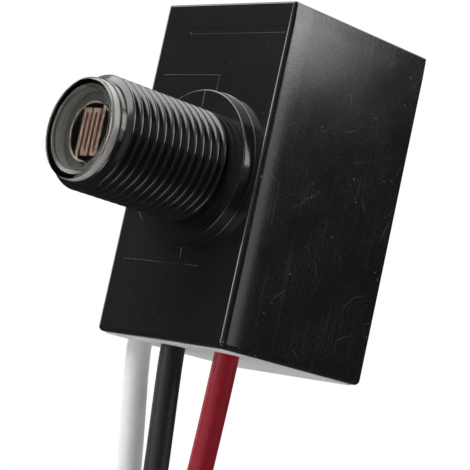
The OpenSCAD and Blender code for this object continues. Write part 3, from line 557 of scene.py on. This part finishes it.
def casing_block():
    """Outside of the casing: round edges, and a right side that falls away a little to its front and top."""
    bm = bmesh.new()
    block(bm, (LEFT_X, FACE_Y, BOTTOM_Z), (RIGHT_X, FACE_Y + CASING_D, TOP_Z))
    share = bm.edges.layers.float.new("bevel_weight_edge")
    for edge in bm.edges:
        edge[share] = TOP_EDGE_R / EDGE_R if min(v.co.z for v in edge.verts) > 0 else 1.0
    blank = object_of("blank", mesh_of("blank", bm))
    edges = blank.modifiers.new("edges", "BEVEL")
    edges.limit_method, edges.width, edges.segments = "WEIGHT", EDGE_R, 8
    bm = bmesh.new()
    bm.from_mesh(settled(blank).data)
    bpy.data.objects.remove(blank)
    inner_x = RIGHT_X - EDGE_R
    for step in range(1, 11):
        drop = EDGE_R + CROWN_REACH * step / 10
        for point, axis in (((0, FACE_Y + drop, 0), (0, 1, 0)), ((0, 0, TOP_Z - drop), (0, 0, 1))):
            faces = [f for f in bm.faces if f.calc_center_median().x > inner_x]
            around = {e for f in faces for e in f.edges} | {v for f in faces for v in f.verts}
            bmesh.ops.bisect_plane(bm, geom=faces + list(around), plane_co=point, plane_no=axis)
    for v in bm.verts:
        if v.co.x > inner_x:
            falls = [max(0, 1 - max(0, d - EDGE_R) / CROWN_REACH) ** 2 for d in (v.co.y - FACE_Y, TOP_Z - v.co.z)]
            v.co.x -= CROWN * sum(falls) * (v.co.x - inner_x) / EDGE_R
    return bm


def face_groove():
    """Shallow groove near the top of the front face, with slanted sides and a round left end."""
    bm = bmesh.new()
    rings = []
    for half, depth in GROOVE_SECTION:
        end = RIGHT_X - EDGE_R - GROOVE_STOP + half
        outline = arc((GROOVE_X, GROOVE_Z), half, 90, 270, 12)
        outline += [(end, GROOVE_Z - half), (end, GROOVE_Z + half)]
        rings.append([bm.verts.new((x, FACE_Y + depth, z)) for x, z in outline])
        bm.faces.new(rings[-1])
    count = len(rings[0])
    for k in range(count):
        n = (k + 1) % count
        bm.faces.new((rings[0][k], rings[0][n], rings[1][n], rings[1][k]))
    return bm


def thread_tree():
    """Thread ridge: a round-cornered profile swept along a helix, which runs out at both ends."""
    tree = bpy.data.node_groups.new("nipple_thread", "GeometryNodeTree")
    tree.interface.new_socket("Geometry", in_out="OUTPUT", socket_type="NodeSocketGeometry")
    for name in ("Root radius", "Pitch", "Turns", "Start", "Depth", "Sunk", "Foot", "Crest", "Corner", "Run out"):
        tree.interface.new_socket(name, in_out="INPUT", socket_type="NodeSocketFloat")
    tree.interface.new_socket("Finish", in_out="INPUT", socket_type="NodeSocketMaterial")
    given = add(tree, "NodeGroupInput").outputs
    height = add(tree, "ShaderNodeMath", {0: given["Pitch"], 1: given["Turns"]}, operation="MULTIPLY")
    helix = add(tree, "GeometryNodeCurveSpiral", {
        "Resolution": 96, "Rotations": given["Turns"], "Start Radius": given["Root radius"],
        "End Radius": given["Root radius"], "Height": height.outputs[0],
    })
    along = add(tree, "GeometryNodeSplineParameter").outputs["Factor"]
    back = add(tree, "ShaderNodeMath", {0: 1.0, 1: along}, operation="SUBTRACT")
    near = add(tree, "ShaderNodeMath", {0: along, 1: back.outputs[0]}, operation="MINIMUM")
    turns_in = add(tree, "ShaderNodeMath", {0: near.outputs[0], 1: given["Turns"]}, operation="MULTIPLY")
    size = add(tree, "ShaderNodeMapRange", {
        "Value": turns_in.outputs[0], "From Max": given["Run out"], "To Min": 0.02, "To Max": 1.0,
    }, interpolation_type="SMOOTHSTEP")
    helix = add(tree, "GeometryNodeSetCurveRadius", {"Curve": helix.outputs[0], "Radius": size.outputs["Result"]})
    helix = add(tree, "GeometryNodeSetCurveNormal", {"Curve": helix.outputs[0]}, mode="Z_UP")
    tall = add(tree, "ShaderNodeMath", {0: given["Depth"], 1: given["Sunk"]}, operation="ADD")
    section = add(tree, "GeometryNodeCurvePrimitiveQuadrilateral", {
        "Bottom Width": given["Foot"], "Top Width": given["Crest"], "Offset": 0.0, "Height": tall.outputs[0],
    }, mode="TRAPEZOID")
    half = add(tree, "ShaderNodeMath", {0: tall.outputs[0], 1: 0.5}, operation="MULTIPLY")
    rise = add(tree, "ShaderNodeMath", {0: half.outputs[0], 1: given["Sunk"]}, operation="SUBTRACT")
    lift = add(tree, "ShaderNodeCombineXYZ", {"Y": rise.outputs[0]})
    spot = add(tree, "ShaderNodeSeparateXYZ", {"Vector": add(tree, "GeometryNodeInputPosition").outputs[0]})
    upper = add(tree, "ShaderNodeMath", {0: spot.outputs["Y"], 1: 0.0}, operation="GREATER_THAN")
    corner = add(tree, "ShaderNodeMath", {0: upper.outputs[0], 1: given["Corner"]}, operation="MULTIPLY")
    section = add(tree, "GeometryNodeFilletCurve", {
        "Curve": section.outputs[0], "Radius": corner.outputs[0], "Count": 6, "Limit Radius": True,
    }, mode="POLY")
    section = add(tree, "GeometryNodeTransform", {"Geometry": section.outputs[0], "Translation": lift.outputs[0]})
    section = add(tree, "GeometryNodeTransform", {
        "Geometry": section.outputs[0], "Rotation": (0.0, 0.0, math.pi / 2),
    })
    ridge = add(tree, "GeometryNodeCurveToMesh", {
        "Curve": helix.outputs[0], "Profile Curve": section.outputs[0], "Fill Caps": True,
    })
    start = add(tree, "ShaderNodeCombineXYZ", {"Z": given["Start"]})
    ridge = add(tree, "GeometryNodeTransform", {"Geometry": ridge.outputs[0], "Translation": start.outputs[0]})
    ridge = add(tree, "GeometryNodeTransform", {"Geometry": ridge.outputs[0], "Rotation": (math.pi / 2, 0.0, 0.0)})
    ridge = add(tree, "GeometryNodeRealizeInstances", {"Geometry": ridge.outputs[0]})
    ridge = add(tree, "GeometryNodeSetMaterial", {"Geometry": ridge.outputs[0], "Material": given["Finish"]})
    add(tree, "NodeGroupOutput", {"Geometry": ridge.outputs[0]})
    return tree


ridge = grown("nipple_thread", thread_tree(), {
    "Root radius": ROOT_R, "Pitch": PITCH, "Turns": 13.6, "Start": -0.9, "Depth": CREST_R - ROOT_R, "Sunk": 0.1,
    "Foot": 1.7, "Crest": 0.5, "Corner": 0.36, "Run out": 0.7, "Finish": finishes["casing_plastic"],
})
to_metres(ridge.data)
smoothed(ridge.data, 40)
dress(ridge, "casing_plastic")

# Collar and nipple core, with small fillets where they meet the face and each other
core = [(0, -FACE_Y - OVERCUT), (COLLAR_R + FILLET_R, -FACE_Y - OVERCUT)]
core += arc((COLLAR_R + FILLET_R, FILLET_R - FACE_Y - FILLET_SUNK), FILLET_R, 270, 180)
core += [(COLLAR_R, -COLLAR_EDGE_R)]
core += arc((COLLAR_R - COLLAR_EDGE_R, -COLLAR_EDGE_R), COLLAR_EDGE_R, 0, 90)[1:]
core += arc((ROOT_R + FILLET_R, FILLET_R), FILLET_R, 270, 180)
core += [(ROOT_R, NIPPLE_L - NIPPLE_CHAMFER), (ROOT_R - NIPPLE_CHAMFER, NIPPLE_L), (0, NIPPLE_L)]

tools = []


def cut_or_join(bm, operation, piece=None):
    """A Boolean on the casing, or on another piece, by a shape that is put away later."""
    tool = object_of("tool", mesh_of("tool", bm))
    tools.append(tool)
    step = (piece or casing).modifiers.new("step", "BOOLEAN")
    step.object, step.operation, step.solver = tool, operation, "EXACT"


casing = object_of("casing_shell", mesh_of("casing_shell", casing_block()))
cut_or_join(lathe(core), "UNION")
for x0, x1, z0, z1, face, high in MOULD_LINES:
    line = bmesh.new()
    block(line, (x0 - LINE_HALF, face - high, z0 - LINE_HALF), (x1 + LINE_HALF, face + OVERCUT, z1 + LINE_HALF))
    bmesh.ops.bevel(line, geom=line.edges[:], offset=LINE_EDGE, segments=3, profile=0.5, affect="EDGES")
    cut_or_join(line, "UNION")
cut_or_join(face_groove(), "DIFFERENCE")
hollow = bmesh.new()
block(hollow, (LEFT_X + WALL, FACE_Y + WALL, BOTTOM_Z - OVERCUT),
      (RIGHT_X - WALL, FACE_Y + CASING_D - WALL, TOP_Z - WALL))
cut_or_join(hollow, "DIFFERENCE")
for wall_x in (LEFT_X + WALL, RIGHT_X - WALL):
    for rib_y in RIBS_Y:
        rib = bmesh.new()
        block(rib, (wall_x - RIB_PROUD, rib_y, CARD_TOP),
              (wall_x + RIB_PROUD, rib_y + RIB_W, TOP_Z - WALL + RIB_SUNK))
        cut_or_join(rib, "UNION")
bore_foot, mouth_foot, bore_top = -FACE_Y - WALL - OVERCUT, NIPPLE_L - MOUTH_DEPTH, NIPPLE_L + OVERCUT
cut_or_join(lathe([(0, bore_foot), (PASSAGE_R, bore_foot), (PASSAGE_R, mouth_foot),
                   (MOUTH_R, mouth_foot), (MOUTH_R, bore_top), (0, bore_top)]), "DIFFERENCE")
settled(casing)
smoothed(casing.data, 30)
# Flat faces shade flat up to their round edges
flats = casing.modifiers.new("flats", "WEIGHTED_NORMAL")
flats.keep_sharp = True
settled(casing)
to_metres(casing.data)
dress(casing, "casing_plastic", "casing")


def potting_face():
    """Underside of the resin, as heights over a grid that is finer at its edges."""
    def lines(low, high):
        steps = [0.0, 0.02, 0.05, 0.1, 0.17, 0.25, 0.35, 0.5, 0.7, 1.0]
        count = round((high - low - 2) / 0.4)
        inner = [low + 1 + (high - low - 2) * i / count for i in range(1, count)]
        return [low + s for s in steps] + inner + [high - s for s in reversed(steps)]

    def height(x, y):
        # Distance from the round-cornered outline inwards
        dx = abs(x - CASING_X) - (CASING_W / 2 - LAP_INSET - LAP_CORNER)
        dy = abs(y - FACE_Y - CASING_D / 2) - (CASING_D / 2 - LAP_INSET - LAP_CORNER)
        inside = LAP_CORNER - math.hypot(max(dx, 0), max(dy, 0)) - min(max(dx, dy), 0)
        if inside < 0:
            return BOTTOM_Z + RESIN_RIM
        z = BOTTOM_Z - LAP * math.sqrt(1 - (1 - min(inside / LAP, 1)) ** 2)
        z += RESIN_WAVE * math.sin(0.31 * x + 0.5) * math.sin(0.27 * y) * min(inside / 2, 1)
        for _, exit_x, _, _ in LEADS:
            clear = max(math.hypot(x - exit_x, y - LEAD_Y) - LEAD_D / 2, 0)
            z -= WET_HEIGHT * math.exp(-clear / WET_REACH)
        return z

    xs = lines(LEFT_X + LAP_INSET, RIGHT_X - LAP_INSET)
    ys = lines(FACE_Y + LAP_INSET, FACE_Y + CASING_D - LAP_INSET)
    bm = bmesh.new()
    under = [[bm.verts.new((x, y, height(x, y))) for y in ys] for x in xs]
    over = [[bm.verts.new((x, y, BOTTOM_Z + RESIN_SKIN)) for y in ys] for x in xs]
    for i in range(len(xs) - 1):
        for j in range(len(ys) - 1):
            for sheet in (under, over):
                bm.faces.new((sheet[i][j], sheet[i + 1][j], sheet[i + 1][j + 1], sheet[i][j + 1]))
    last_i, last_j = len(xs) - 1, len(ys) - 1
    around = [(i, 0) for i in range(last_i)] + [(last_i, j) for j in range(last_j)]
    around += [(i, last_j) for i in range(last_i, 0, -1)] + [(0, j) for j in range(last_j, 0, -1)]
    for (i, j), (k, m) in zip(around, around[1:] + around[:1]):
        bm.faces.new((under[i][j], under[k][m], over[k][m], over[i][j]))
    return bm


# Lens: a clear plug with a round rim, and a skirt in the nipple's mouth
lens_top = NIPPLE_L + LENS_PROUD
plug = [(0, lens_top)] + arc((LENS_R - LENS_EDGE_R, lens_top - LENS_EDGE_R), LENS_EDGE_R, 90, 0)
plug += [(LENS_R, NIPPLE_L), (SKIRT_R, NIPPLE_L), (SKIRT_R, NIPPLE_L - SKIRT_L), (SKIRT_IN_R, NIPPLE_L - SKIRT_L)]
plug += [(SKIRT_IN_R, lens_top - WINDOW_T), (0, lens_top - WINDOW_T)]
lens = object_of("lens_plug", mesh_of("lens_plug", lathe(plug)))
smoothed(lens.data, 30)
to_metres(lens.data)
dress(lens, "clear_plastic", "lens")

resin = object_of("potting_fill", mesh_of("potting_fill", potting_face()))
fill = bmesh.new()
block(fill, (LEFT_X + WALL + RESIN_ROOM, FACE_Y + WALL + RESIN_ROOM, BOTTOM_Z - RESIN_SKIN),
      (RIGHT_X - WALL - RESIN_ROOM, FACE_Y + CASING_D - WALL - RESIN_ROOM, POTTING_TOP))
cut_or_join(fill, "UNION", resin)
for _, exit_x, _, _ in LEADS:
    hole = bmesh.new()
    bmesh.ops.create_cone(hole, cap_ends=True, segments=36, radius1=LEAD_D / 2, radius2=LEAD_D / 2, depth=20,
                          matrix=Matrix.Translation((exit_x, LEAD_Y, BOTTOM_Z)))
    cut_or_join(hole, "DIFFERENCE", resin)
settled(resin)
smoothed(resin.data, 40)
to_metres(resin.data)
dress(resin, "potting_resin", "potting")
for tool in tools:
    bpy.data.objects.remove(tool)

# Every other CAD node keeps its shape and takes its slot's finish. The metal that is evaporated on the cell is duller
# and browner than its wires
evaporated = tinned_wire("evaporated_metal", "#d0bcb0", "#e4d0c4", (0.6, 0.75))
for part in frame["record"]["subparts"]:
    node = frame["nodes"][part["node"]]
    node.data.materials.clear()
    node.data.materials.append(finishes[part["material_slot"]])
for name in ("cell_electrode_top", "cell_electrode_bottom"):
    frame["nodes"][name].data.materials[0] = evaporated

# Floor, world and lamps: a plain pale studio, whose floor fades into the white round it
FLOOR_DROP, FADE_FROM, FADE_TO = 0.002, 0.15, 0.45
AMBIENT, WHITE = 0.2, 1.0
floor_mesh = bmesh.new()
bmesh.ops.create_grid(floor_mesh, x_segments=1, y_segments=1, size=3)
floor = object_of("floor", mesh_of("floor", floor_mesh))
floor.location.z = cad_box[0][2] - FLOOR_DROP
paper, tree, shader = finish("white_paper", Roughness=0.9)
place = add(tree, "ShaderNodeTexCoord").outputs["Object"]
tooth = add(tree, "ShaderNodeTexNoise", {"Vector": place, "Scale": 1 / (40 * MM)})
blend_colours(tree, shader, tooth.outputs["Fac"], "#e6e6e6", "#eaeaea")
flat = add(tree, "ShaderNodeVectorMath", {0: place}, operation="LENGTH")
far = add(tree, "ShaderNodeMapRange", {"Value": flat.outputs["Value"], "From Min": FADE_FROM, "From Max": FADE_TO})
fade = add(tree, "ShaderNodeMixShader", {
    0: far.outputs["Result"], 1: shader.outputs[0], 2: add(tree, "ShaderNodeBsdfTransparent").outputs[0],
})
tree.links.new(fade.outputs[0], tree.nodes["Material Output"].inputs["Surface"])
floor.data.materials.append(paper)

world = bpy.data.worlds.new("studio")
bpy.context.scene.world = world
world.use_nodes = True
tree = world.node_tree
tree.nodes["Background"].inputs["Color"].default_value = (1, 1, 1, 1)
tree.nodes["Background"].inputs["Strength"].default_value = AMBIENT
white = add(tree, "ShaderNodeBackground", {"Color": (1, 1, 1, 1), "Strength": WHITE})
rays = add(tree, "ShaderNodeLightPath").outputs
seen = add(tree, "ShaderNodeMath", {0: rays["Is Camera Ray"], 1: rays["Is Glossy Ray"]}, operation="MAXIMUM")
seen = add(tree, "ShaderNodeMath", {0: seen.outputs[0], 1: rays["Is Transmission Ray"]}, operation="MAXIMUM")
sky = add(tree, "ShaderNodeMixShader", {
    0: seen.outputs[0], 1: tree.nodes["Background"].outputs[0], 2: white.outputs[0],
})
tree.links.new(sky.outputs[0], tree.nodes["World Output"].inputs["Surface"])

# Low dark cards stand round the set and under it, as for any glossy black thing. They show only in its reflections
# and through its lens, and those in front of the lens let its light in. Those front cards are grey and glow faintly:
# painted light, seen only in reflections
CARD_REACH, CARD_HEIGHT, CARD_STEPS = 0.75, 0.55, 60
FRONT_CARDS = range(40, 54)
velvet = moulded("black_velvet", "#2c2c2c", "#343434", 3.0, 0.1, (0.9, 1.0), Specular_IOR_Level=0.0)
# The front cards glow faintly: painted light that only reflections show
grey = moulded("glowing_grey_card", "#2c2c2c", "#343434", 3.0, 0.1, (0.9, 1.0), Specular_IOR_Level=0.0,
               Emission_Color=(1.0, 1.0, 1.0, 1.0), Emission_Strength=0.4)
foot = cad_box[0][2]
for name, spans in (("dark_cards", set(range(CARD_STEPS)) - set(FRONT_CARDS)), ("front_cards", FRONT_CARDS)):
    cards_mesh = bmesh.new()
    low, high = [], []
    for step in range(CARD_STEPS):
        turn = math.tau * step / CARD_STEPS
        x, y = CARD_REACH * math.cos(turn), CARD_REACH * math.sin(turn)
        low.append(cards_mesh.verts.new((x, y, foot)))
        high.append(cards_mesh.verts.new((x, y, foot + CARD_HEIGHT)))
    for k in spans:
        cards_mesh.faces.new((low[k - 1], low[k], high[k], high[k - 1]))
    if name == "dark_cards":
        cards_mesh.faces.new(low)
    cards = object_of(name, mesh_of(name, cards_mesh))
    cards.visible_camera = cards.visible_diffuse = cards.visible_shadow = False
    cards.visible_transmission = name == "dark_cards"
    cards.data.materials.append(velvet if name == "dark_cards" else grey)

# Lamps, each turned to the part: azimuth and elevation in degrees, distance, width and height in metres, and watts
REFLECTED_ONLY = ("right_softbox", "front_strip", "low_reflector")
THROUGH_LENS_ONLY = ("lens_light",)
for name, azimuth, elevation, distance, width, height, power in (
    ("right_softbox", 28, 29, 0.50, 0.28, 0.28, 1.6),
    ("right_strip", 33.5, 6, 0.50, 0.06, 0.20, 0.07),
    ("back_softbox", 92, 44, 0.55, 0.50, 0.50, 2.6),
    ("top_softbox", 236, 48, 0.60, 0.62, 0.50, 5.6),
    ("front_strip", 248, 8, 0.60, 0.30, 0.17, 1.5),
    ("low_reflector", 285, -48, 0.24, 0.16, 0.12, 0.25),
    ("left_strip", 190, 10, 0.60, 0.14, 0.35, 0.7),
    ("lens_light", 300, 20, 0.60, 0.30, 0.24, 2.8),
):
    lamp = bpy.data.objects.new(name, bpy.data.lights.new(name, "AREA"))
    lamp.data.shape = "RECTANGLE"
    lamp.data.size, lamp.data.size_y, lamp.data.energy = width, height, power
    lamp.visible_camera = False
    lamp.visible_diffuse = name not in REFLECTED_ONLY + THROUGH_LENS_ONLY
    lamp.visible_glossy = name not in THROUGH_LENS_ONLY
    turn, lift = math.radians(azimuth), math.radians(elevation)
    spot = Vector((math.cos(lift) * math.cos(turn), math.cos(lift) * math.sin(turn), math.sin(lift)))
    lamp.location = spot * distance
    lamp.rotation_euler = spot.to_track_quat("Z", "Y").to_euler()
    bpy.context.scene.collection.objects.link(lamp)

bpy.context.scene.view_settings.view_transform = "Standard"
